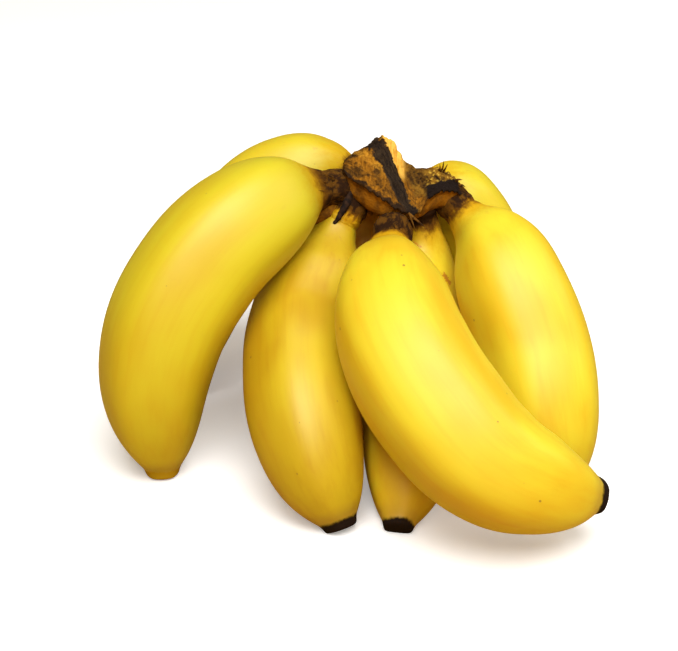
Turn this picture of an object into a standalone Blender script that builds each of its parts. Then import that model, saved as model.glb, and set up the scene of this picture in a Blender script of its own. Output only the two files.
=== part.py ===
"""A hand of eight small, thick bananas that grew together on one dried crown, set down with the crown up.

Metres, +Z up. The table is at z = 0, the front of the hand faces -Y, and the origin is under its middle.
Each banana is a straight blank, swelling from a thin neck to its belly and drawn in to a blunt tip, bent
along its own path. The tips that reach the table are trimmed flat on it. The crown is the dried pad of
stalk that was cut from the bunch, with a short collar for each neck, and each banana starts a hair's
breadth beyond its collar.
"""

import math

import bmesh
import bpy
from mathutils import Vector

MM = 0.001

# The hand is drawn from under the crown's left end, then moved so that the origin is under its middle.
HAND_SHIFT = Vector((-3.0, 33.3, 0.0)) * MM

# Each banana: its girth, how far its shoulder is drawn out, and its path in mm from crown to tip.
BANANAS = {
    "banana_left": (
        36, 1.0, [(1, 0, 71), (-12, -9, 72), (-26, -23, 70), (-41, -34, 58), (-52, -43, 36),
                  (-52, -49, -1)]
    ),
    "banana_rear_left": (
        33, 1.0, [(10, 11, 67), (4, 16, 67), (-4, 19, 68), (-17, 21, 63), (-29, 20, 53), (-38, 17, 40),
                  (-47, 9, 25), (-52, -3, -1)]
    ),
    "banana_front_left": (
        34.2, 1.0, [(4, -2, 66), (-1, -6, 58), (-5, -13, 49), (-9.5, -26, 39), (-10.3, -44, 33),
                    (-8.1, -65, 22), (1, -78, 0)]
    ),
    "banana_front_middle": (
        30.8, 1.0, [(24, -3, 68), (25, -2, 58), (23, -6, 43), (21, -22, 32), (20.8, -43, 20),
                    (19.4, -62, 11.3), (16.1, -80, 1)]
    ),
    "banana_front_top": (
        37, 1.5, [(16, -12, 63), (15, -23, 60), (14.6, -41, 57.6), (17.6, -62, 50), (28, -77.8, 38),
                  (40, -85.6, 28), (54, -86.6, 21), (72, -82, 14)]
    ),
    "banana_right": (
        34, 1.35, [(33, 1, 67), (38, -4, 63), (46, -14, 57), (52, -27, 47), (57, -37, 35), (60, -49, 22),
                   (64, -61, 0)]
    ),
    "banana_rear_right": (
        32, 1.0, [(22, 9, 67), (28, 14, 65), (34, 18, 60.5), (39, 19.5, 52), (44, 18, 40), (47, 12, 26),
                  (50, -1, -1)]
    ),
    "banana_rear_middle": (
        31, 1.0, [(15, 13, 64), (10, 20, 50), (8, 20, 38), (5, 15, 24), (4, 3, -1)]
    ),
}

# A straight banana's outline: how far along it a ring lies, and the ring's share of the girth.
OUTLINE = [
    (0.000, 0.31),
    (0.030, 0.36),
    (0.070, 0.55),
    (0.130, 0.78),
    (0.220, 0.94),
    (0.400, 1.00),
    (0.600, 0.99),
    (0.760, 0.89),
    (0.870, 0.70),
    (0.940, 0.46),
    (0.968, 0.31),
    (0.997, 0.25),
]
NECK_SHARE = OUTLINE[0][1]

# A banana's section is a soft pentagon: a corner on each ridge and one in the middle of each side.
FACETS = 5
SIDES = 2 * FACETS
RIDGE_SHARE = 0.03
SMOOTHING = 1
# The smoothed skin lies inside its cage of straight sides by this share.
SKIN_IN_CAGE = (2 + math.cos(math.tau / SIDES)) / 3

# A collar runs from its root inside the crown along the start of its banana's path.
COLLAR_LENGTH = 7 * MM
COLLAR_ROOT = -8 * MM
COLLAR_ROOT_RADIUS = 5 * MM
COLLAR_SWELL = 1.08
GAP = 0.1 * MM

# The crown's pad, from its left end to its right, in millimetres: the place of each ring's middle,
# then its half depth, its rise to the torn ridge and its drop to the underside.
PAD_RINGS = [
    (3, -1, 75, 4, 4, 4),
    (6, 1, 75, 8, 7, 8),
    (10, 3, 73, 13, 12, 9),
    (14, 2, 72, 14, 16, 9),
    (20, 1, 70, 13, 9, 8),
    (27, 1, 70, 9, 6, 7),
    (32, 2, 68, 7, 5, 6),
    (35, 2, 67, 4, 3, 4),
]
PAD_SIDES = 12
RIDGE_PINCH = 0.45

FLOOR_SIDE = 0.5
FLOOR_DEPTH = 0.05

YELLOW = (0.85, 0.60, 0.06)
BROWN = (0.22, 0.11, 0.03)


def clear_scene():
    for obj in list(bpy.data.objects):
        bpy.data.objects.remove(obj)


def material(name, colour, roughness):
    made = bpy.data.materials.new(name)
    made.use_nodes = True
    shader = made.node_tree.nodes["Principled BSDF"]
    shader.inputs["Base Color"].default_value = (*colour, 1)
    shader.inputs["Roughness"].default_value = roughness
    shader.inputs["Metallic"].default_value = 0
    return made


def link(name, data):
    obj = bpy.data.objects.new(name, data)
    bpy.context.scene.collection.objects.link(obj)
    return obj


def as_helper(obj):
    obj.hide_render = True
    obj.display_type = "WIRE"
    return obj


def guide_path(name, points):
    """A smooth curve through a banana's own points."""
    curve = bpy.data.curves.new(name, "CURVE")
    curve.dimensions = "3D"
    curve.twist_mode = "MINIMUM"
    curve.resolution_u = 24
    spline = curve.splines.new("BEZIER")
    spline.bezier_points.add(len(points) - 1)
    for knot, place in zip(spline.bezier_points, points):
        knot.co = Vector(place) * MM + HAND_SHIFT
        knot.handle_left_type = knot.handle_right_type = "AUTO"
    return as_helper(link(name, curve))


def length_of(path):
    return path.data.splines[0].calc_length()


def loft(name, rings):
    """A closed skin through rings of corners, each with as many corners as the one before."""
    cage = bmesh.new()
    loops = [[cage.verts.new(corner) for corner in ring] for ring in rings]
    for near, far in zip(loops, loops[1:]):
        for side in range(len(near)):
            after = (side + 1) % len(near)
            cage.faces.new((near[side], near[after], far[after], far[side]))
    cage.faces.new(reversed(loops[0]))
    cage.faces.new(loops[-1])
    bmesh.ops.recalc_face_normals(cage, faces=cage.faces)
    mesh = bpy.data.meshes.new(name)
    cage.to_mesh(mesh)
    cage.free()
    mesh.shade_smooth()
    return link(name, mesh)


def pentagon_ring(x, radius):
    """One ring of a straight blank round the X axis, with every other corner on a ridge."""
    ring = []
    for side in range(SIDES):
        angle = math.tau * side / SIDES
        reach = radius * (1 + RIDGE_SHARE if side % 2 == 0 else 1 - RIDGE_SHARE)
        ring.append((x, reach * math.cos(angle), reach * math.sin(angle)))
    return ring


def pad_ring(x, y, z, depth, rise, drop):
    """One ring of the crown's pad, drawn in toward the ridge on top."""
    ring = []
    for side in range(PAD_SIDES):
        angle = math.tau * side / PAD_SIDES
        height = math.sin(angle)
        width = depth * math.cos(angle) * (1 - RIDGE_PINCH * max(height, 0))
        ring.append(Vector((x, y + width, z + height * (rise if height > 0 else drop))) * MM + HAND_SHIFT)
    return ring


def smooth(obj):
    smoothing = obj.modifiers.new("Smooth", "SUBSURF")
    smoothing.levels = smoothing.render_levels = SMOOTHING


def bend(obj, path):
    bending = obj.modifiers.new("Bend", "CURVE")
    bending.object = path
    bending.deform_axis = "POS_X"


def trim(obj, block):
    cut = obj.modifiers.new("Trim", "BOOLEAN")
    cut.operation = "DIFFERENCE"
    cut.solver = "EXACT"
    cut.object = block


def grow_together(obj, collection):
    """Joins a collection's pieces into obj in one step."""
    union = obj.modifiers.new("Grow_together", "BOOLEAN")
    union.operation = "UNION"
    union.solver = "EXACT"
    union.operand_type = "COLLECTION"
    union.collection = collection


def drawn_out(share, shoulder):
    """Where a ring lies when the shoulder is drawn out, which leaves the tip where it is."""
    return share + (shoulder - 1) * share * (1 - share) ** 3


def banana(name, girth, shoulder, path):
    """A blank from the end of its collar to its tip, bent along its path."""
    start = COLLAR_LENGTH + GAP
    length = length_of(path) - start
    radius = girth * MM / 2 / SKIN_IN_CAGE
    rings = []
    for share, width in OUTLINE:
        rings.append(pentagon_ring(start + drawn_out(share, shoulder) * length, width * radius))
    obj = loft(name, rings)
    smooth(obj)
    bend(obj, path)
    return obj


def collar(name, girth, path):
    """The stub of the crown that a banana's neck grows from."""
    neck = NECK_SHARE * girth * MM / 2 / SKIN_IN_CAGE
    rings = [
        pentagon_ring(COLLAR_ROOT, COLLAR_ROOT_RADIUS),
        pentagon_ring(COLLAR_LENGTH / 2, COLLAR_SWELL * neck),
        pentagon_ring(COLLAR_LENGTH, neck),
    ]
    obj = loft(name, rings)
    smooth(obj)
    bend(obj, path)
    return as_helper(obj)


def pad():
    obj = loft("crown", [pad_ring(*ring) for ring in PAD_RINGS])
    smooth(obj)
    return obj


def floor():
    bpy.ops.mesh.primitive_cube_add(size=1, location=(0, 0, -FLOOR_DEPTH / 2))
    block = bpy.context.object
    block.name = "floor_cutter"
    block.scale = (FLOOR_SIDE, FLOOR_SIDE, FLOOR_DEPTH)
    return as_helper(block)


def reaches_floor(points, girth):
    return points[-1][2] < NECK_SHARE * girth / 2


def build():
    clear_scene()
    skin = material("banana_skin", YELLOW, 0.45)
    bark = material("dried_crown", BROWN, 0.8)
    table = floor()
    crown = pad()
    crown.data.materials.append(bark)
    collars = bpy.data.collections.new("collars")
    for name, (girth, shoulder, points) in BANANAS.items():
        path = guide_path(name + "_path", points)
        fruit = banana(name, girth, shoulder, path)
        fruit.data.materials.append(skin)
        if reaches_floor(points, girth):
            trim(fruit, table)
        collars.objects.link(collar(name + "_collar", girth, path))
    grow_together(crown, collars)


build()
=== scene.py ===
"""Dresses the hand of bananas: eight ripe fruits with their dried tips, and the crown that they grow from."""

import math

import bmesh
import bpy
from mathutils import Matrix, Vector, noise


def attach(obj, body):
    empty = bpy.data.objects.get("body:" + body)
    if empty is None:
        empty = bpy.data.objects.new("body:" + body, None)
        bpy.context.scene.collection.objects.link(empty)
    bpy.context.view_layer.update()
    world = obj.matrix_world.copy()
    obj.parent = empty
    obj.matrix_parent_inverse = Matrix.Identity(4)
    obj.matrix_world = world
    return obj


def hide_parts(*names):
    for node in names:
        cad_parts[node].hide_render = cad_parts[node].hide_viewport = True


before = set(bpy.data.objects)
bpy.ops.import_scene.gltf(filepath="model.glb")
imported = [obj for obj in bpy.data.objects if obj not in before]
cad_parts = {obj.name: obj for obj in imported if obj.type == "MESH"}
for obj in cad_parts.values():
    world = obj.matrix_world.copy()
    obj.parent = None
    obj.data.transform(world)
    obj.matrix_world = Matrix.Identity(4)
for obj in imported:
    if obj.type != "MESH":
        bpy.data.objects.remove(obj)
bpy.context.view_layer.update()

# The pale table and the camera.
# The hand stands on a plain pale sheet, which looks white and sends a warm light back onto the fruits.
# The camera looks from straight in front and a little above, through a long lens.
TABLE_SIDE = 6
SHEET_SEEN = (0.92, 0.92, 0.92, 1)
SHEET_SENT_BACK = (0.45, 0.28, 0.07, 1)
SHEET_GLOW = 0.30
SIGHT_TARGET = Vector((-0.003, -0.0017, 0.042))
SIGHT_DISTANCE = 0.47
SIGHT_HEIGHT = math.radians(28)
LENS = 86


def new_finish(name):
    """A new material, with its node tree and its shader."""
    made = bpy.data.materials.new(name)
    made.use_nodes = True
    return made, made.node_tree, made.node_tree.nodes["Principled BSDF"]


def add_node(tree, kind, **settings):
    made = tree.nodes.new(kind)
    for name, value in settings.items():
        setattr(made, name, value)
    return made


def feed(tree, socket, source):
    """Gives a socket another node's output, or a plain value."""
    if isinstance(source, bpy.types.NodeSocket):
        tree.links.new(source, socket)
    else:
        socket.default_value = source


def ramp(tree, value, low, high, low_out=0.0, high_out=1.0):
    """A smooth step from one value to another as the input goes from low to high."""
    made = add_node(tree, "ShaderNodeMapRange", interpolation_type="SMOOTHSTEP")
    for socket, source in zip(made.inputs, (value, low, high, low_out, high_out)):
        feed(tree, socket, source)
    return made.outputs[0]


def blend_colour(tree, amount, under, over):
    made = add_node(tree, "ShaderNodeMix", data_type="RGBA")
    feed(tree, made.inputs["Factor"], amount)
    feed(tree, made.inputs["A"], under)
    feed(tree, made.inputs["B"], over)
    return made.outputs["Result"]


bpy.ops.object.select_all(action="DESELECT")
bpy.ops.mesh.primitive_plane_add(size=TABLE_SIDE, location=(0, 0, 0))
table = bpy.context.object
table.name = "table"
bpy.ops.object.transform_apply(location=True, rotation=True, scale=True)
paper, paper_tree, paper_shader = new_finish("pale_paper")
seen = add_node(paper_tree, "ShaderNodeLightPath").outputs["Is Camera Ray"]
sheet_colour = blend_colour(paper_tree, seen, SHEET_SENT_BACK, SHEET_SEEN)
feed(paper_tree, paper_shader.inputs["Base Color"], sheet_colour)
paper_shader.inputs["Roughness"].default_value = 0.9
paper_shader.inputs["Emission Color"].default_value = (1, 1, 1, 1)
feed(paper_tree, paper_shader.inputs["Emission Strength"], ramp(paper_tree, seen, 0.0, 1.0, 0.0, SHEET_GLOW))
table.data.materials.append(paper)

bpy.ops.object.camera_add(
    location=SIGHT_TARGET + SIGHT_DISTANCE * Vector((0, -math.cos(SIGHT_HEIGHT), math.sin(SIGHT_HEIGHT))),
    rotation=(math.pi / 2 - SIGHT_HEIGHT, 0, 0),
)
camera = bpy.context.object
camera.data.lens = LENS
camera.data.clip_start = 0.01
bpy.context.scene.camera = camera

# The light.
# One broad soft window almost straight above makes the pale sheen on top of the fruits, and a small card at
# the right makes their edges paler. A weak warm light in front and a warm room keep the shaded sides golden.
WHITE = (1, 1, 1)
LIGHTS = {  # name: (place, side of the square, power, colour)
    "window": ((0.07, -0.42, 0.95), 0.80, 15.6, WHITE),
    "right_card": ((0.80, 0.10, 0.70), 0.45, 2.0, WHITE),
    "front_fill": ((0.05, -1.3, 0.40), 0.9, 2.8, (1, 0.74, 0.32)),
}
ROOM_COLOUR = (1, 0.76, 0.40, 1)
ROOM_STRENGTH = 0.20
for name, (place, side, power, colour) in LIGHTS.items():
    aim = (SIGHT_TARGET - Vector(place)).to_track_quat("-Z", "Y").to_euler()
    bpy.ops.object.light_add(type="AREA", location=place, rotation=aim)
    lamp = bpy.context.object
    lamp.name = name
    lamp.data.size = side
    lamp.data.energy = power
    lamp.data.color = colour
room = bpy.data.worlds.new("warm_room")
room.use_nodes = True
room.node_tree.nodes["Background"].inputs["Color"].default_value = ROOM_COLOUR
room.node_tree.nodes["Background"].inputs["Strength"].default_value = ROOM_STRENGTH
bpy.context.scene.world = room
bpy.context.scene.view_settings.view_transform = "Standard"

# The peel, the skin of every fruit.
# Ripe peel is a thin waxy skin: yellow with faint lengthwise streaks, greener near a fresh neck, and brown
# where it dries toward the crown. Small dots come with ripeness, and the flower end dries black.
MM = 0.001
GREEN_SKIN = (0.56, 0.49, 0.016, 1)
RUST = (0.42, 0.16, 0.03, 1)
DOT_BROWN = (0.19, 0.075, 0.02, 1)
NECK_AMBER = (0.50, 0.22, 0.006, 1)
NECK_BROWN = (0.13, 0.048, 0.004, 1)
NECK_BLACK = (0.022, 0.009, 0.004, 1)
NECK_MOTTLE = (0.120, 0.050, 0.006, 1)
TIP_BROWN = (0.32, 0.17, 0.03, 1)
DOTS_PER_METRE = 230
MARK_STRENGTH = 0.8
MARKS = {  # two ends of each mark in millimetres, its half width, and its colour
    "banana_front_top": [
        ((10.2, -5.7, 70.0), (12.9, -7.6, 70.4), 0.45, (0.62, 0.24, 0.03)),
        ((12.9, -7.6, 70.4), (15.6, -3.6, 69.6), 0.40, (0.55, 0.20, 0.02)),
        ((3.2, -3.7, 66.5), (3.5, -4.2, 66.4), 0.30, (0.25, 0.10, 0.01)),
        ((15.0, -6.2, 70.0), (15.2, -6.6, 70.0), 0.30, (0.25, 0.10, 0.01)),
    ],
    "banana_front_middle": [
        ((28.8, 19.2, 48.0), (29.9, 18.6, 46.0), 1.20, (0.42, 0.13, 0.01)),
        ((19.8, 24.6, 56.2), (21.6, 23.4, 55.2), 0.40, (0.50, 0.16, 0.01)),
    ],
}


def maths(tree, operation, first, second=0.0):
    made = add_node(tree, "ShaderNodeMath", operation=operation)
    for socket, source in zip(made.inputs, (first, second)):
        feed(tree, socket, source)
    return made.outputs[0]


def plus(tree, first, second):
    return maths(tree, "ADD", first, second)


def minus(tree, first, second):
    return maths(tree, "SUBTRACT", first, second)


def times(tree, first, second):
    return maths(tree, "MULTIPLY", first, second)


def vector_maths(tree, operation, first, second, output="Vector"):
    made = add_node(tree, "ShaderNodeVectorMath", operation=operation)
    feed(tree, made.inputs[0], first)
    feed(tree, made.inputs[1], second)
    return made.outputs[output]


def stretched_noise(tree, place, stretch, detail=3.0, roughness=0.5, distortion=0.0):
    """Noise whose features are finer where the stretch is larger, in features for each metre."""
    mapping = add_node(tree, "ShaderNodeMapping")
    feed(tree, mapping.inputs["Vector"], place)
    mapping.inputs["Scale"].default_value = stretch
    made = add_node(tree, "ShaderNodeTexNoise")
    feed(tree, made.inputs["Vector"], mapping.outputs[0])
    made.inputs["Scale"].default_value = 1
    made.inputs["Detail"].default_value = detail
    made.inputs["Roughness"].default_value = roughness
    made.inputs["Distortion"].default_value = distortion
    return made.outputs["Fac"]


def add_relief(tree, shader, height, strength, depth):
    """Fine relief on a finish, from a height that changes over the surface."""
    bump = add_node(tree, "ShaderNodeBump")
    bump.inputs["Strength"].default_value = strength
    bump.inputs["Distance"].default_value = depth
    feed(tree, bump.inputs["Height"], height)
    feed(tree, shader.inputs["Normal"], bump.outputs["Normal"])


def new_group(name, takes, gives):
    """A node group with named sockets: its tree, what it is given and where its results go."""
    tree = bpy.data.node_groups.new(name, "ShaderNodeTree")
    for way, sockets in (("INPUT", takes), ("OUTPUT", gives)):
        for socket, kind in sockets.items():
            tree.interface.new_socket(name=socket, in_out=way, socket_type="NodeSocket" + kind)
    given = add_node(tree, "NodeGroupInput").outputs
    result = add_node(tree, "NodeGroupOutput").inputs
    return tree, given, result


def peel_group():
    """Colour, roughness and relief of ripe peel, from a place on the straight fruit and the share along it."""
    tree, given, result = new_group(
        "ripe_peel",
        {
            "Place": "Vector", "Along": "Float", "Share": "Float", "Seed": "Float",
            "Yellow": "Color", "Deep": "Color", "Green": "Float",
            "Neck": "Float", "Tip": "Float", "Dried": "Color", "Spots": "Float",
        },
        {"Colour": "Color", "Roughness": "Float", "Height": "Float", "Dry": "Float"},
    )

    # The seed gives each fruit its own part of the pattern.
    shift = add_node(tree, "ShaderNodeCombineXYZ")
    feed(tree, shift.inputs[0], given["Seed"])
    feed(tree, shift.inputs[1], times(tree, given["Seed"], 0.37))
    feed(tree, shift.inputs[2], times(tree, given["Seed"], -0.61))
    place = vector_maths(tree, "ADD", given["Place"], shift.outputs[0])
    clouds = stretched_noise(tree, place, (30, 55, 55), detail=2)
    streaks = stretched_noise(tree, place, (28, 420, 420), detail=4, roughness=0.6)
    fibres = stretched_noise(tree, place, (90, 1500, 1500), detail=3, roughness=0.6)
    blotches = stretched_noise(tree, place, (220, 320, 320), detail=4, roughness=0.65)
    pores = stretched_noise(tree, place, (1400, 1800, 1800), detail=2)

    # Yellow with deeper streaks, greener and a little rusty toward the neck.
    depth = plus(tree, ramp(tree, clouds, 0.35, 0.70), ramp(tree, streaks, 0.42, 0.75, 0.0, 0.35))
    colour = blend_colour(tree, maths(tree, "MINIMUM", depth, 1.0), given["Yellow"], given["Deep"])
    cloudy_share = plus(tree, given["Share"], times(tree, clouds, 0.25))
    green_end = ramp(tree, cloudy_share, 0.10, 0.62, 1.0, 0.0)
    greenness = times(tree, given["Green"], plus(tree, green_end, 0.20))
    colour = blend_colour(tree, maths(tree, "MINIMUM", greenness, 1.0), colour, GREEN_SKIN)
    rust = times(tree, ramp(tree, blotches, 0.60, 0.74), ramp(tree, given["Share"], 0.30, 0.02, 0.05, 0.55))
    colour = blend_colour(tree, rust, colour, RUST)

    # Small brown dots, in a few of many cells.
    cells = add_node(tree, "ShaderNodeTexVoronoi", feature="F1")
    feed(tree, cells.inputs["Vector"], place)
    cells.inputs["Scale"].default_value = DOTS_PER_METRE
    cell_pick = add_node(tree, "ShaderNodeSeparateColor")
    feed(tree, cell_pick.inputs[0], cells.outputs["Color"])
    dot_size = times(tree, given["Spots"], ramp(tree, cell_pick.outputs[0], 0.72, 1.0, 0.0, 0.13))
    past_dot = minus(tree, cells.outputs["Distance"], dot_size)
    dots = times(tree, ramp(tree, past_dot, -0.045, 0.020, 0.70, 0.0), ramp(tree, dot_size, 0.005, 0.03))
    colour = blend_colour(tree, dots, colour, DOT_BROWN)

    # The neck dries from its root, with an uneven edge.
    off_middle = minus(tree, blotches, 0.5)
    uneven = plus(tree, times(tree, off_middle, 0.008), times(tree, minus(tree, fibres, 0.5), 0.002))
    drying = maths(tree, "DIVIDE", plus(tree, given["Along"], uneven), given["Neck"])
    colour = blend_colour(tree, ramp(tree, drying, 1.0, 2.4, 0.75, 0.0), colour, NECK_AMBER)
    colour = blend_colour(tree, ramp(tree, drying, 0.9, 1.4, 0.95, 0.0), colour, NECK_BROWN)
    darkest = blend_colour(tree, ramp(tree, blotches, 0.47, 0.60, 0.0, 0.8), NECK_BLACK, NECK_MOTTLE)
    colour = blend_colour(tree, ramp(tree, drying, 0.65, 1.05, 0.98, 0.0), colour, darkest)

    # The flower end dries black, with a ragged edge and a brown border.
    end = plus(tree, given["Share"], times(tree, off_middle, 0.022))
    past_tip = minus(tree, end, given["Tip"])
    colour = blend_colour(tree, ramp(tree, past_tip, -0.05, 0.0, 0.0, 0.45), colour, TIP_BROWN)
    black = ramp(tree, past_tip, -0.006, 0.006)
    feed(tree, result["Colour"], blend_colour(tree, black, colour, given["Dried"]))

    # Dried skin has lost its wax and is rough and stringy.
    feed(tree, result["Dry"], maths(tree, "MAXIMUM", black, ramp(tree, drying, 1.0, 2.4, 1.0, 0.0)))
    stringy = maths(tree, "MAXIMUM", black, ramp(tree, drying, 0.6, 1.3, 1.0, 0.0))
    waxy = plus(tree, times(tree, streaks, 0.20), 0.40)
    feed(tree, result["Roughness"], plus(tree, waxy, times(tree, stringy, 0.38)))
    relief = plus(tree, times(tree, streaks, 0.10), times(tree, pores, 0.05))
    relief = plus(tree, relief, times(tree, times(tree, fibres, stringy), 0.55))
    feed(tree, result["Height"], minus(tree, relief, times(tree, dots, 0.08)))
    return tree


def mark_group():
    """A narrow mark between two points, with an uneven edge."""
    tree, given, result = new_group(
        "peel_mark", {"Place": "Vector", "From": "Vector", "To": "Vector", "Width": "Float"}, {"Mask": "Float"}
    )
    run = vector_maths(tree, "SUBTRACT", given["To"], given["From"])
    away = vector_maths(tree, "SUBTRACT", given["Place"], given["From"])
    along = vector_maths(tree, "DOT_PRODUCT", away, run, "Value")
    share = maths(tree, "DIVIDE", along, vector_maths(tree, "DOT_PRODUCT", run, run, "Value"))
    share = maths(tree, "MINIMUM", maths(tree, "MAXIMUM", share, 0.0), 1.0)
    nearest = add_node(tree, "ShaderNodeVectorMath", operation="SCALE")
    feed(tree, nearest.inputs[0], run)
    feed(tree, nearest.inputs["Scale"], share)
    gap = vector_maths(tree, "DISTANCE", away, nearest.outputs[0], "Value")
    uneven = stretched_noise(tree, given["Place"], (1400, 1400, 1400), detail=3, roughness=0.6)
    reach = times(tree, given["Width"], plus(tree, times(tree, uneven, 3.0), -0.7))
    edge = maths(tree, "DIVIDE", minus(tree, gap, reach), given["Width"])
    feed(tree, result["Mask"], ramp(tree, edge, -0.25, 0.25, 1.0, 0.0))
    return tree


ripe_peel = peel_group()
peel_mark = mark_group()


def peel(name, length, seed, colours, green, neck, tip, dried, spots, marks):
    """One fruit's own peel: waxy, a little translucent, and dull where it is dry."""
    made, tree, shader = new_finish(name)
    place = add_node(tree, "ShaderNodeAttribute", attribute_name="straight").outputs["Vector"]
    split = add_node(tree, "ShaderNodeSeparateXYZ")
    feed(tree, split.inputs[0], place)
    along = split.outputs[0]
    skin = add_node(tree, "ShaderNodeGroup", node_tree=ripe_peel)
    for socket, source in {
        "Place": place, "Along": along, "Share": maths(tree, "DIVIDE", along, length), "Seed": seed,
        "Yellow": (*colours[0], 1), "Deep": (*colours[1], 1), "Green": green,
        "Neck": neck, "Tip": tip, "Dried": (*dried, 1), "Spots": spots,
    }.items():
        feed(tree, skin.inputs[socket], source)
    colour = skin.outputs["Colour"]
    where = add_node(tree, "ShaderNodeTexCoord").outputs["Object"]
    for start, stop, width, tint in marks:
        mark = add_node(tree, "ShaderNodeGroup", node_tree=peel_mark)
        feed(tree, mark.inputs["Place"], where)
        mark.inputs["From"].default_value = Vector(start) * MM
        mark.inputs["To"].default_value = Vector(stop) * MM
        mark.inputs["Width"].default_value = width * MM
        colour = blend_colour(tree, times(tree, mark.outputs["Mask"], MARK_STRENGTH), colour, (*tint, 1))
    feed(tree, shader.inputs["Base Color"], colour)
    feed(tree, shader.inputs["Roughness"], skin.outputs["Roughness"])
    feed(tree, shader.inputs["Coat Weight"], ramp(tree, skin.outputs["Dry"], 0.0, 1.0, 1.0, 0.0))
    shader.inputs["Coat Roughness"].default_value = 0.50
    shader.inputs["Specular IOR Level"].default_value = 0.05
    shader.inputs["Subsurface Weight"].default_value = 0.12
    shader.inputs["Subsurface Radius"].default_value = (0.006, 0.003, 0.0006)
    shader.inputs["Subsurface Scale"].default_value = 1
    add_relief(tree, shader, skin.outputs["Height"], 0.35, 0.0006)
    return made


# The eight fruits.
# Each is a short, plump banana of soft, faintly five-sided section. It grows as a straight bud and bends
# upward, so it is shaped straight here, from its neck to the dried stub of its flower, and then bent.
HAND_SHIFT = Vector((-0.003, 0.0333, 0.0))  # from the crown's left end to under the hand's middle
FRUIT_START = 0.0071  # where the plain solid starts along its path
NECK_START = 0.0045  # where the fruit starts here, inside its dried neck
RIDGE_SHARE = 0.06
SIDES = 10
SKIN_IN_CAGE = (2 + math.cos(math.tau / SIDES)) / 3  # how far the smoothed skin lies inside its straight sides
SMOOTHING = 4
OUTLINE = [  # how far along the fruit, and the share of its half girth there
    (0.000, 0.31), (0.030, 0.36), (0.070, 0.55), (0.130, 0.78), (0.220, 0.94), (0.400, 1.00), (0.600, 0.99),
    (0.760, 0.89), (0.870, 0.70), (0.940, 0.46), (0.968, 0.31), (0.985, 0.28), (0.997, 0.25),
]
NECK_SHARE = OUTLINE[0][1]

# Each peel has a lighter and a deeper colour, and the dried end has its own.
SUNNY = ((0.76, 0.61, 0.022), (0.71, 0.46, 0.008))
GREENISH = ((0.66, 0.54, 0.013), (0.61, 0.41, 0.004))
GOLDEN = ((0.82, 0.44, 0.010), (0.74, 0.32, 0.004))
# The front left fruit's colours are darker and more orange than the rest: painted shade, for where it lies
# under the fruits beside it.
PAINTED_SHADE_PEEL = ((0.61, 0.45, 0.009), (0.50, 0.30, 0.003))
BLACK_END = (0.016, 0.009, 0.006)
OLIVE_END = (0.50, 0.32, 0.012)
BLACK_FROM = 0.968  # where the black end starts, as a share of the path
LATE_BLACK = {"banana_front_middle": 0.978}
# The front left fruit's own seed puts the paler yellow of its peel down the middle of its front, as a painted
# highlight.
PAINTED_HIGHLIGHT_SEEDS = {"banana_front_left": 5.3}  # a seed of its own, for a paler streak down its front
FRUITS = {  # name: girth, shoulder, path from the crown to the tip in mm, peel colours, green, neck, spots
    "banana_left": (
        36, 1.0, [(1, 0, 71), (-12, -9, 72), (-26, -23, 70), (-41, -34, 58), (-52, -43, 36),
                  (-52, -49, -1)],
        GREENISH, 1.0, 0.0122, 0.5,
    ),
    "banana_rear_left": (
        33, 1.0, [(10, 11, 67), (4, 16, 67), (-4, 19, 68), (-17, 21, 63), (-29, 20, 53), (-38, 17, 40),
                  (-47, 9, 25), (-52, -3, -1)],
        SUNNY, 0.75, 0.009, 0.6,
    ),
    "banana_front_left": (
        34.2, 1.0, [(4, -2, 66), (-1, -6, 58), (-5, -13, 49), (-9.5, -26, 39), (-10.3, -44, 33),
                    (-8.1, -65, 22), (1, -78, 0)],
        PAINTED_SHADE_PEEL, 0.0, 0.0034, 0.9,
    ),
    "banana_front_middle": (
        30.8, 1.0, [(24, -3, 68), (25, -2, 58), (23, -6, 43), (21, -22, 32), (20.8, -43, 20),
                    (19.4, -62, 11.3), (16.1, -80, 1)],
        SUNNY, 0.0, 0.0080, 1.0,
    ),
    "banana_front_top": (
        37, 1.5, [(16, -12, 63), (15, -23, 60), (14.6, -41, 57.6), (17.6, -62, 50), (28, -77.8, 38),
                  (40, -85.6, 28), (54, -86.6, 21), (72, -82, 14)],
        SUNNY, 0.1, 0.0088, 0.8,
    ),
    "banana_right": (
        34, 1.35, [(33, 1, 67), (38, -4, 63), (46, -14, 57), (52, -27, 47), (57, -37, 35), (60, -49, 22),
                   (64, -61, 0)],
        SUNNY, 0.15, 0.0074, 0.9,
    ),
    "banana_rear_right": (
        32, 1.0, [(22, 9, 67), (28, 14, 65), (34, 18, 60.5), (39, 19.5, 52), (44, 18, 40), (47, 12, 26),
                  (50, -1, -1)],
        SUNNY, 0.55, 0.0070, 0.6,
    ),
    "banana_rear_middle": (
        31, 1.0, [(15, 13, 64), (10, 20, 50), (8, 20, 38), (5, 15, 24), (4, 3, -1)],
        GOLDEN, 0.1, 0.006, 0.7,
    ),
}


def add_run(curve, places, radii):
    """One smooth run of a curve through places in millimetres, with a radius at each."""
    run = curve.splines.new("BEZIER")
    run.bezier_points.add(len(places) - 1)
    for knot, place, radius in zip(run.bezier_points, places, radii):
        knot.co = Vector(place) * MM + HAND_SHIFT
        knot.radius = radius
        knot.handle_left_type = knot.handle_right_type = "AUTO"


def guide_path(name, points):
    """A smooth curve through a fruit's points, crown to tip."""
    bpy.ops.object.select_all(action="DESELECT")
    curve = bpy.data.curves.new(name, "CURVE")
    curve.dimensions = "3D"
    curve.twist_mode = "MINIMUM"
    curve.resolution_u = 24
    add_run(curve, points, [1.0] * len(points))
    made = bpy.data.objects.new(name, curve)
    bpy.context.scene.collection.objects.link(made)
    return made


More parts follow.
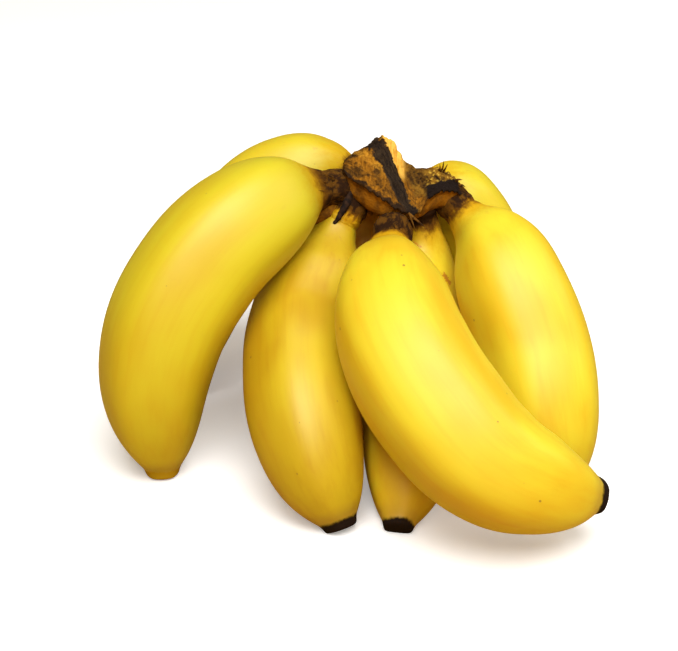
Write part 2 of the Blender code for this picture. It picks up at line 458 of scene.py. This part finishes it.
def straight_stick(name, stations):
    """A closed, faintly five-sided stick along X, through stations of place and radius."""
    bpy.ops.object.select_all(action="DESELECT")
    first_place, first_radius = stations[0]
    bpy.ops.mesh.primitive_circle_add(
        vertices=SIDES, radius=1, fill_type="NGON", location=(first_place, 0, 0), rotation=(0, math.pi / 2, 0)
    )
    stick = bpy.context.object
    stick.name = name
    bpy.ops.object.transform_apply(location=True, rotation=True, scale=True)
    for vertex in stick.data.vertices:
        side = round(math.atan2(vertex.co.z, vertex.co.y) / math.tau * SIDES)
        reach = first_radius * (1 + RIDGE_SHARE if side % 2 == 0 else 1 - RIDGE_SHARE)
        vertex.co.y *= reach
        vertex.co.z *= reach
    bpy.ops.object.mode_set(mode="EDIT")
    bpy.ops.mesh.select_all(action="SELECT")
    for (near, near_radius), (far, far_radius) in zip(stations, stations[1:]):
        bpy.ops.mesh.extrude_region_move(TRANSFORM_OT_translate={"value": (far - near, 0, 0)})
        spread = far_radius / near_radius
        bpy.ops.transform.resize(value=(1, spread, spread), center_override=(far, 0, 0))
    bpy.ops.mesh.select_all(action="SELECT")
    bpy.ops.mesh.normals_make_consistent(inside=False)
    bpy.ops.object.mode_set(mode="OBJECT")
    return stick


def apply_modifier(piece, name):
    bpy.ops.object.select_all(action="DESELECT")
    piece.select_set(True)
    bpy.context.view_layer.objects.active = piece
    bpy.ops.object.modifier_apply(modifier=name)


def soften(piece):
    smoothing = piece.modifiers.new("Soften", "SUBSURF")
    smoothing.levels = smoothing.render_levels = SMOOTHING
    apply_modifier(piece, "Soften")
    bpy.ops.object.shade_smooth()


def bend(piece, path):
    bending = piece.modifiers.new("Bend", "CURVE")
    bending.object = path
    bending.deform_axis = "POS_X"
    apply_modifier(piece, "Bend")


def remember_straight(piece):
    """Keeps each point's place on the straight fruit, which the peel's pattern follows."""
    kept = piece.data.attributes.new("straight", "FLOAT_VECTOR", "POINT")
    for vertex, record in zip(piece.data.vertices, kept.data):
        record.vector = vertex.co


def stand_on_table(piece):
    """Flattens what reaches below the table, as the fruit's own weight does."""
    for vertex in piece.data.vertices:
        vertex.co.z = max(vertex.co.z, 0)


def fruit_stations(girth, shoulder, path_length):
    """Places and radii along a straight fruit. A drawn-out shoulder leaves the tip where it is."""
    radius = girth * MM / 2 / SKIN_IN_CAGE
    length = path_length - FRUIT_START
    stations = []
    for share, width in OUTLINE:
        drawn = share + (shoulder - 1) * share * (1 - share) ** 3
        stations.append((FRUIT_START + drawn * length, width * radius))
    stations[0] = (NECK_START, NECK_SHARE * radius)
    return stations


for number, (name, (girth, shoulder, points, colours, green, neck, spots)) in enumerate(FRUITS.items()):
    path = guide_path(name + "_path", points)
    path_length = path.data.splines[0].calc_length()
    fruit = straight_stick(name + "_fruit", fruit_stations(girth, shoulder, path_length))
    soften(fruit)
    remember_straight(fruit)
    bend(fruit, path)
    stand_on_table(fruit)
    bpy.data.objects.remove(path)
    seed = PAINTED_HIGHLIGHT_SEEDS.get(name, 0.7 * number + 0.2)
    tip = LATE_BLACK.get(name, BLACK_FROM)
    dried = OLIVE_END if name == "banana_left" else BLACK_END
    marks = MARKS.get(name, [])
    skin = peel(name + "_peel", path_length, seed, colours, green, neck, tip, dried, spots, marks)
    fruit.data.materials.append(skin)
    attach(fruit, "root")
    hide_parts(name)

# The dried necks.
# Each fruit hangs from a short neck, a stalk of stringy skin that shrinks and browns first. The necks run
# together under the crown, so each is a stub that starts inside it and slips over the start of its fruit.
NECK_ROOT = [(-0.004, 0.0025), (-0.002, 0.0044)]  # places and radii
NECK_OUTLINE = [  # places and shares of the neck's radius
    (0.0005, 1.04), (0.0035, 1.03), (0.0060, 1.00), (0.0080, 0.94), (0.0086, 0.70),
]
ROOT_SHIFT = {"banana_front_middle": (0.002, 0.0015)}
NO_SHIFT = (0, 0)
FOLD_SIZE = 0.0028
FRAY = {"banana_left": 0.0034, "banana_front_top": 0.0016, "banana_right": 0.0024}
LITTLE_FRAY = 0.0006
FRAY_LIFT = 0.12
FRAY_RAMP = 0.002
ON_AXIS = 0.00001


def pucker(piece, size, depth, along=1.0):
    """Shrinks a dried surface into small uneven folds."""
    shift = [
        vertex.normal * depth * noise.fractal(
            Vector((vertex.co.x / size, vertex.co.y / size, vertex.co.z / size / along)), 0.8, 2.2, 4
        )
        for vertex in piece.data.vertices
    ]
    for vertex, move in zip(piece.data.vertices, shift):
        vertex.co += move


def fray(piece, start, reach, lift):
    """Tears the far end of a straight piece into uneven fibres that lie a little open."""
    for vertex in piece.data.vertices:
        if math.hypot(vertex.co.y, vertex.co.z) < ON_AXIS:  # the cap's middle has no turn of its own
            continue
        share = min(1.0, max(0.0, (vertex.co.x - start) / FRAY_RAMP))
        turn = math.atan2(vertex.co.z, vertex.co.y)
        torn = noise.fractal(Vector((3 * math.cos(turn), 3 * math.sin(turn), 1.7 + start)), 0.5, 2.4, 4)
        vertex.co.x += share * reach * torn
        spread = 1 + share * lift * max(0.0, torn)
        vertex.co.y *= spread
        vertex.co.z *= spread


for name, (girth, _, points, *_) in FRUITS.items():
    path = guide_path(name + "_path", points)
    neck_radius = NECK_SHARE * girth * MM / 2 / SKIN_IN_CAGE
    later = ROOT_SHIFT.get(name, NO_SHIFT)
    stations = [(place + shift, radius) for (place, radius), shift in zip(NECK_ROOT, later)]
    stations += [(place, share * neck_radius) for place, share in NECK_OUTLINE]
    stub = straight_stick(name + "_neck", stations)
    soften(stub)
    remember_straight(stub)
    pucker(stub, FOLD_SIZE, 0.00035, 3.0)
    fray(stub, 0.0055, FRAY.get(name, LITTLE_FRAY), FRAY_LIFT if name in FRAY else 0.0)
    bend(stub, path)
    bpy.data.objects.remove(path)
    stub.data.materials.append(bpy.data.materials[name + "_peel"])
    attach(stub, "root")
    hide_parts("crown")

# The fold under the left neck.
# The old skin of the left fruit's neck sags below it in a dried fold, in front of the gap beside the next one.
# It is shaped straight, bent along the neck and lowered.
FOLD_OUTLINE = [
    (-0.003, 0.0020), (0.000, 0.0046), (0.004, 0.0056), (0.008, 0.0056), (0.0115, 0.0044), (0.0140, 0.0014),
]
FOLD_SAG = Vector((-0.0004, 0.0010, -0.0066))


def mottled_skin(name, first, second, size):
    """Dull dried skin in two mottled colours; in near-black, it also paints the shadow in the gap beside the
    left neck.
    """
    made, tree, shader = new_finish(name)
    place = add_node(tree, "ShaderNodeTexCoord").outputs["Object"]
    mottle = stretched_noise(tree, place, (1 / size, 1 / size, 1 / size), detail=4, roughness=0.6)
    colour = blend_colour(tree, ramp(tree, mottle, 0.36, 0.64), (*first, 1), (*second, 1))
    feed(tree, shader.inputs["Base Color"], colour)
    shader.inputs["Roughness"].default_value = 0.8
    shader.inputs["Specular IOR Level"].default_value = 0.10
    add_relief(tree, shader, mottle, 0.5, 0.0006)
    return made


path = guide_path("fold_path", FRUITS["banana_left"][2])
fold = straight_stick("banana_left_fold", FOLD_OUTLINE)
soften(fold)
pucker(fold, FOLD_SIZE, 0.0004, 3.0)
bend(fold, path)
bpy.data.objects.remove(path)
for vertex in fold.data.vertices:
    vertex.co += FOLD_SAG
folded_skin = mottled_skin("folded_skin", (0.30, 0.125, 0.008), (0.12, 0.045, 0.005), 0.003)
fold.data.materials.append(folded_skin)
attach(fold, "root")
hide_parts("crown")

# The dried crown: the pad of stalk that was cut from the bunch.
# The cut face rises from a torn hem in front to a peak, with a lower wing on the right, and has dried dark
# with orange and tan patches. It is too torn to be turned, so it is a skin through listed sections.
CROWN_SECTIONS = [  # x, then y and z of the hem, the ridge, the back, the bottom and the bulge, in millimetres
    (1.0, (-3.5, 76.6), (0.5, 79.4), (5.0, 76.0), (1.0, 71.0), (-3.0, 73.5)),
    (3.0, (-6.0, 76.2), (0.5, 80.6), (8.0, 75.0), (1.0, 67.5), (-5.4, 71.6)),
    (6.0, (-8.5, 75.0), (1.5, 81.6), (12.0, 74.5), (2.0, 65.0), (-7.8, 69.0)),
    (9.3, (-10.5, 73.6), (3.0, 84.2), (15.0, 74.0), (2.5, 63.5), (-9.8, 67.0)),
    (12.0, (-12.0, 72.2), (4.0, 85.9), (16.0, 74.0), (3.0, 63.0), (-11.2, 65.8)),
    (15.5, (-13.0, 70.1), (4.0, 85.4), (16.0, 73.0), (3.0, 62.5), (-12.2, 64.8)),
    (18.0, (-13.4, 68.6), (2.5, 81.0), (14.5, 72.0), (3.0, 62.5), (-12.2, 64.4)),
    (21.0, (-13.2, 67.2), (1.0, 77.4), (12.5, 71.0), (2.5, 62.5), (-11.0, 64.4)),
    (23.5, (-12.0, 66.6), (0.5, 76.2), (11.5, 70.0), (2.5, 62.5), (-9.6, 64.2)),
    (26.0, (-9.3, 70.2), (0.5, 76.4), (10.5, 69.5), (2.5, 62.5), (-8.6, 66.0)),
    (29.0, (-8.0, 72.6), (0.5, 77.0), (9.5, 69.0), (2.0, 62.5), (-7.4, 67.4)),
    (32.5, (-6.5, 72.4), (1.0, 75.6), (7.5, 68.5), (2.0, 63.0), (-6.0, 68.0)),
    (35.8, (-4.6, 70.6), (1.0, 72.4), (5.5, 68.0), (2.0, 64.0), (-4.0, 67.6)),
    (38.3, (-2.0, 68.0), (1.0, 69.2), (3.5, 67.0), (1.5, 65.0), (-1.5, 66.0)),
]


def crown_section(x, hem, ridge, back, bottom, bulge):
    """Corners round one section, each with its share of the way up the cut face and whether it is on it."""
    hem, ridge, back, bottom, bulge = (Vector((x, *place)) for place in (hem, ridge, back, bottom, bulge))
    dip = Vector((0, 0.9, -0.6))
    return [
        (hem + Vector((0, 0.5, 0.5)), 0.06, 1.0),
        (hem.lerp(ridge, 0.33) + dip, 0.33, 1.0),
        (hem.lerp(ridge, 0.68) + dip * 0.8, 0.68, 1.0),
        (ridge, 1.0, 1.0),
        (ridge + Vector((0, 1.6, -0.9)), 1.1, 0.5),
        (ridge.lerp(back, 0.55) + Vector((0, 0.5, 0.5)), 1.3, 0.0),
        (back, 1.6, 0.0),
        (back.lerp(bottom, 0.5) + Vector((0, 1.0, -1.0)), 1.9, 0.0),
        (bottom, 2.0, 0.0),
        (bottom.lerp(bulge, 0.6) + Vector((0, -0.6, -0.8)), -1.0, 0.0),
        (bulge, -0.6, 0.0),
        (hem + Vector((0, 1.5, -1.1)), -0.15, 0.0),
        (hem, 0.0, 0.6),
    ]


def skin_through(name, sections):
    """A closed skin through sections that have as many corners each."""
    skin = bmesh.new()
    loops = [[skin.verts.new(corner[0] * MM + HAND_SHIFT) for corner in section] for section in sections]
    for near, far in zip(loops, loops[1:]):
        for side in range(len(near)):
            after = (side + 1) % len(near)
            skin.faces.new((near[side], near[after], far[after], far[side]))
    skin.faces.new(reversed(loops[0]))
    skin.faces.new(loops[-1])
    bmesh.ops.recalc_face_normals(skin, faces=skin.faces)
    mesh = bpy.data.meshes.new(name)
    skin.to_mesh(mesh)
    skin.free()
    made = bpy.data.objects.new(name, mesh)
    bpy.context.scene.collection.objects.link(made)
    return made


sections = [crown_section(*section) for section in CROWN_SECTIONS]
crown = skin_through("crown_pad", sections)
rise = crown.data.attributes.new("rise", "FLOAT", "POINT")
torn = crown.data.attributes.new("torn", "FLOAT", "POINT")
for number, corner in enumerate(corner for section in sections for corner in section):
    rise.data[number].value = corner[1]
    torn.data[number].value = corner[2]
soften(crown)

# Lumps and slanting grain on the cut face, and teeth along the hem and the ridge, in millimetres.
rises = [item.value for item in crown.data.attributes["rise"].data]
torns = [item.value for item in crown.data.attributes["torn"].data]
moves = []
for vertex, up_face, cut in zip(crown.data.vertices, rises, torns):
    place = vertex.co * 1000
    slant = place.x - 11 * (1 - up_face)
    grain = noise.fractal(Vector((slant / 0.9, up_face * 2.2, place.y / 9)), 0.7, 2.1, 4)
    lumps = noise.fractal(place / 3.5, 0.9, 2.0, 3)
    teeth = noise.fractal(Vector((place.x / 1.1, 3.1, 7.7)), 0.8, 2.3, 3)
    near_hem = max(0.0, 1 - abs(up_face) / 0.16) * min(1.0, cut + 0.4)
    near_ridge = max(0.0, 1 - abs(up_face - 1) / 0.14)
    push = vertex.normal * (0.30 * cut * grain + (0.25 + 0.45 * cut) * lumps)
    push += Vector((0, -0.55, -0.85)) * teeth * 0.8 * near_hem
    push += Vector((0, 0, 0.7)) * teeth * near_ridge
    moves.append(push * MM)
for vertex, move in zip(crown.data.vertices, moves):
    vertex.co += move

SLATE = ((0.012, 0.007, 0.005, 1), (0.046, 0.028, 0.014, 1))
ORANGE = ((0.36, 0.145, 0.009, 1), (0.20, 0.078, 0.006, 1))
TAN = ((0.86, 0.50, 0.085, 1), (0.62, 0.28, 0.024, 1))
DARK = ((0.020, 0.009, 0.003, 1), (0.110, 0.050, 0.008, 1))
BROWN = ((0.055, 0.023, 0.004, 1), (0.130, 0.055, 0.007, 1))
BULGE_BROWN = ((0.30, 0.115, 0.006, 1), (0.16, 0.062, 0.007, 1))
BLACK_RIM = (0.014, 0.008, 0.006, 1)
PALE_ORANGE = (0.58, 0.27, 0.022, 1)
LOBE_BROWN = (0.30, 0.145, 0.014, 1)
LOBE_SPECK = (0.62, 0.38, 0.045, 1)
PAINTED_UNDERSIDE_SHADE = (0.050, 0.020, 0.005, 1)
BACK_BROWN = (0.28, 0.12, 0.02, 1)


def crown_finish():
    """Dried stalk: slate and orange patches on the cut face, tan beside the peak, brown skin below the hem."""
    made, tree, shader = new_finish("dried_crown")
    place = add_node(tree, "ShaderNodeTexCoord").outputs["Object"]
    split = add_node(tree, "ShaderNodeSeparateXYZ")
    feed(tree, split.inputs[0], place)
    across = times(tree, minus(tree, split.outputs[0], HAND_SHIFT.x), 1000)
    up_face = add_node(tree, "ShaderNodeAttribute", attribute_name="rise").outputs["Fac"]
    on_cut = add_node(tree, "ShaderNodeAttribute", attribute_name="torn").outputs["Fac"]
    patches = stretched_noise(tree, place, (260, 260, 260), detail=4, roughness=0.6, distortion=0.4)
    specks = stretched_noise(tree, place, (900, 900, 900), detail=3, roughness=0.6)
    grain = stretched_noise(tree, place, (1500, 300, 300), detail=4, roughness=0.65, distortion=0.3)
    uneven = times(tree, minus(tree, patches, 0.5), 9)
    rough_edge = plus(tree, uneven, times(tree, minus(tree, specks, 0.5), 3))

    # The slate stripe slants down the cut face to the hem's tip, and the strips of fibre run with it.
    stripe_middle = plus(tree, times(tree, minus(tree, 1.0, up_face), 11.8), 10.2)
    from_stripe = plus(tree, minus(tree, across, stripe_middle), times(tree, rough_edge, 0.60))
    swell = times(tree, up_face, minus(tree, 1.05, up_face))
    half_width = plus(tree, 1.5, times(tree, swell, 6.0))
    past_stripe = minus(tree, maths(tree, "ABSOLUTE", from_stripe), half_width)
    stripe = ramp(tree, past_stripe, -0.35, 0.35, 1.0, 0.0)
    strip_place = add_node(tree, "ShaderNodeCombineXYZ")
    feed(tree, strip_place.inputs[0], times(tree, from_stripe, 0.9))
    feed(tree, strip_place.inputs[1], times(tree, up_face, 5.0))
    strips = stretched_noise(tree, strip_place.outputs[0], (1, 1, 1), detail=4, roughness=0.65)

    slate = blend_colour(tree, ramp(tree, strips, 0.38, 0.66), *SLATE)
    orange = blend_colour(tree, ramp(tree, grain, 0.35, 0.65), *ORANGE)
    tan = blend_colour(tree, ramp(tree, grain, 0.42, 0.72), *TAN)
    dark = blend_colour(tree, ramp(tree, specks, 0.35, 0.65), *DARK)
    brown = blend_colour(tree, ramp(tree, strips, 0.40, 0.62), *BROWN)

    # Left of the stripe: orange and brown patches, browner low down and paler in a streak higher up.
    face = blend_colour(tree, ramp(tree, patches, 0.42, 0.56), brown, orange)
    low_dark = times(tree, ramp(tree, from_stripe, -6.0, -1.5), ramp(tree, up_face, 0.62, 0.30))
    low_dark = times(tree, low_dark, ramp(tree, strips, 0.40, 0.60, 0.25, 1.0))
    face = blend_colour(tree, low_dark, face, brown)
    left_dark_top = times(tree, ramp(tree, across, 8.5, 5.0), ramp(tree, up_face, 0.80, 0.95))
    face = blend_colour(tree, left_dark_top, face, dark)
    pale_streak = times(tree, ramp(tree, from_stripe, -6.2, -5.0), ramp(tree, from_stripe, -2.6, -3.8))
    pale_streak = times(tree, pale_streak, ramp(tree, strips, 0.60, 0.42, 0.10, 0.85))
    pale_streak = times(tree, pale_streak, ramp(tree, up_face, 0.30, 0.60))
    face = blend_colour(tree, pale_streak, face, PALE_ORANGE)

    # Right of it: the dark, speckled wing, and the tan and fibrous strips beside the stripe.
    right_lobe = ramp(tree, plus(tree, across, rough_edge), 19.0, 21.5)
    lobe = blend_colour(tree, ramp(tree, patches, 0.42, 0.62, 0.0, 0.75), dark, LOBE_BROWN)
    lobe_specks = times(tree, ramp(tree, across, 25.0, 27.5), ramp(tree, specks, 0.54, 0.62, 0.0, 0.75))
    lobe = blend_colour(tree, lobe_specks, lobe, LOBE_SPECK)
    face = blend_colour(tree, right_lobe, face, lobe)
    tan_strip = times(tree, ramp(tree, from_stripe, 2.2, 3.0), ramp(tree, across, 20.5, 18.5))
    face = blend_colour(tree, tan_strip, face, tan)
    fibre_strip = times(tree, ramp(tree, from_stripe, 2.0, 3.2), ramp(tree, from_stripe, 7.6, 5.4))
    fibre_strip = times(tree, fibre_strip, ramp(tree, up_face, 0.72, 0.50))
    fibre = blend_colour(tree, ramp(tree, strips, 0.44, 0.60), orange, brown)
    face = blend_colour(tree, fibre_strip, face, fibre)
    face = blend_colour(tree, stripe, face, slate)

    # Black edges: the wing's rim and the lip of the hem.
    rough_rise = plus(tree, up_face, times(tree, rough_edge, 0.045))
    wing_end = minus(tree, rough_rise, ramp(tree, across, 31.0, 35.5, 0.0, 0.35))
    black_rim = times(tree, ramp(tree, across, 25.0, 26.5), ramp(tree, wing_end, 0.52, 0.42))
    left_lip = times(tree, ramp(tree, across, 24.0, 22.0), ramp(tree, rough_rise, 0.12, 0.05, 0.0, 0.85))
    face = blend_colour(tree, maths(tree, "MAXIMUM", black_rim, left_lip), face, BLACK_RIM)

    # Off the cut face: the bulge of skin below the hem, darkened with painted shade toward its underside, and
    # the back.
    below = blend_colour(tree, ramp(tree, patches, 0.38, 0.62), *BULGE_BROWN)
    below = blend_colour(tree, ramp(tree, up_face, -0.60, -0.95), below, PAINTED_UNDERSIDE_SHADE)
    behind = blend_colour(tree, ramp(tree, patches, 0.40, 0.60), dark, BACK_BROWN)
    off_cut = blend_colour(tree, ramp(tree, up_face, 1.0, 1.1), below, behind)
    colour = blend_colour(tree, ramp(tree, on_cut, 0.35, 0.65), off_cut, face)
    feed(tree, shader.inputs["Base Color"], colour)
    feed(tree, shader.inputs["Roughness"], ramp(tree, grain, 0.2, 0.8, 0.62, 0.92))
    shader.inputs["Specular IOR Level"].default_value = 0.08
    add_relief(tree, shader, plus(tree, times(tree, grain, on_cut), times(tree, specks, 0.5)), 0.8, 0.0012)
    return made


crown.data.materials.append(crown_finish())
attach(crown, "root")
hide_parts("crown")

# The loose fibres.
# Where the crown was torn from the bunch, a few stiff strands stand out: at the tip of the hem, along the top
# of the right wing and over the shoulder of the left fruit. Each tapers to a point.
FIBRES = [  # root, middle and tip of each strand in millimetres, and its thickness
    ((20.5, -12.6, 67.6), (23.4, -14.2, 65.6), (26.2, -14.8, 63.4), 1.5),
    ((20.8, -13.2, 67.2), (21.9, -14.6, 64.8), (22.6, -14.9, 62.6), 1.0),
    ((30.4, 0.0, 75.6), (31.0, -0.6, 77.2), (31.2, -0.9, 79.4), 1.4),
    ((31.2, 0.2, 75.2), (31.8, -0.4, 76.8), (32.4, -0.8, 78.4), 1.3),
    ((30.0, 0.0, 76.0), (30.2, -0.5, 77.2), (30.0, -0.8, 78.4), 1.1),
    ((35.0, 0.2, 72.6), (36.0, -0.4, 73.2), (37.0, -0.6, 73.2), 1.5),
    ((36.0, -0.4, 71.4), (37.0, -1.0, 71.6), (37.9, -1.4, 71.2), 1.4),
    ((-2.1, -6.0, 76.4), (-4.2, -8.0, 78.2), (-6.0, -9.6, 79.5), 0.8),
    ((-2.6, -6.8, 74.4), (-4.2, -10.2, 76.6), (-5.2, -12.8, 78.3), 0.7),
    ((-2.7, -7.3, 71.6), (-4.6, -12.4, 74.6), (-6.0, -16.0, 76.4), 0.8),
]
STRAND_TAPER = (1.0, 0.7, 0.12)


def strand_curve(name, thickness, roundness, steps):
    """A round, closed strand's curve, still without its runs."""
    bpy.ops.object.select_all(action="DESELECT")
    curve = bpy.data.curves.new(name, "CURVE")
    curve.dimensions = "3D"
    curve.bevel_depth = thickness
    curve.bevel_resolution = roundness
    curve.use_fill_caps = True
    curve.resolution_u = steps
    return curve


def curve_to_mesh(curve):
    """Makes the finished piece from a curve that has all its runs."""
    made = bpy.data.objects.new(curve.name, curve)
    bpy.context.scene.collection.objects.link(made)
    made.select_set(True)
    bpy.context.view_layer.objects.active = made
    bpy.ops.object.convert(target="MESH")
    bpy.ops.object.shade_smooth()
    return made


strands = strand_curve("crown_fibres", 0.0003, 2, 6)
for root, middle, tip, thickness in FIBRES:
    add_run(strands, (root, middle, tip), [width * thickness for width in STRAND_TAPER])
fibres = curve_to_mesh(strands)
dried_strand = mottled_skin("dried_strand", (0.035, 0.015, 0.005), (0.17, 0.072, 0.008), 0.0015)
fibres.data.materials.append(dried_strand)
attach(fibres, "root")
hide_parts("crown")

# The painted shadow in the gap.
# A thick black strip hangs down between the left neck and the next neck, as painted shadow for the shaded gap
# there. It tapers along a short bend, so it is drawn as a curve, like the strands.
GAP_SHADOW_PLACES = [(3.4, -4.4, 70.8), (2.3, -6.9, 68.4), (0.6, -8.7, 65.7), (-1.4, -9.5, 62.7)]
GAP_SHADOW_TAPER = (1.2, 1.2, 0.9, 0.5)
gap_shadow_line = strand_curve("crown_painted_shadow_gap", 0.001, 4, 16)
add_run(gap_shadow_line, GAP_SHADOW_PLACES, GAP_SHADOW_TAPER)
gap_shadow_strip = curve_to_mesh(gap_shadow_line)
pucker(gap_shadow_strip, 0.0016, 0.00022)
painted_gap_shadow = mottled_skin("painted_gap_shadow", (0.010, 0.006, 0.005), (0.035, 0.016, 0.008), 0.0012)
gap_shadow_strip.data.materials.append(painted_gap_shadow)
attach(gap_shadow_strip, "root")
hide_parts("crown")
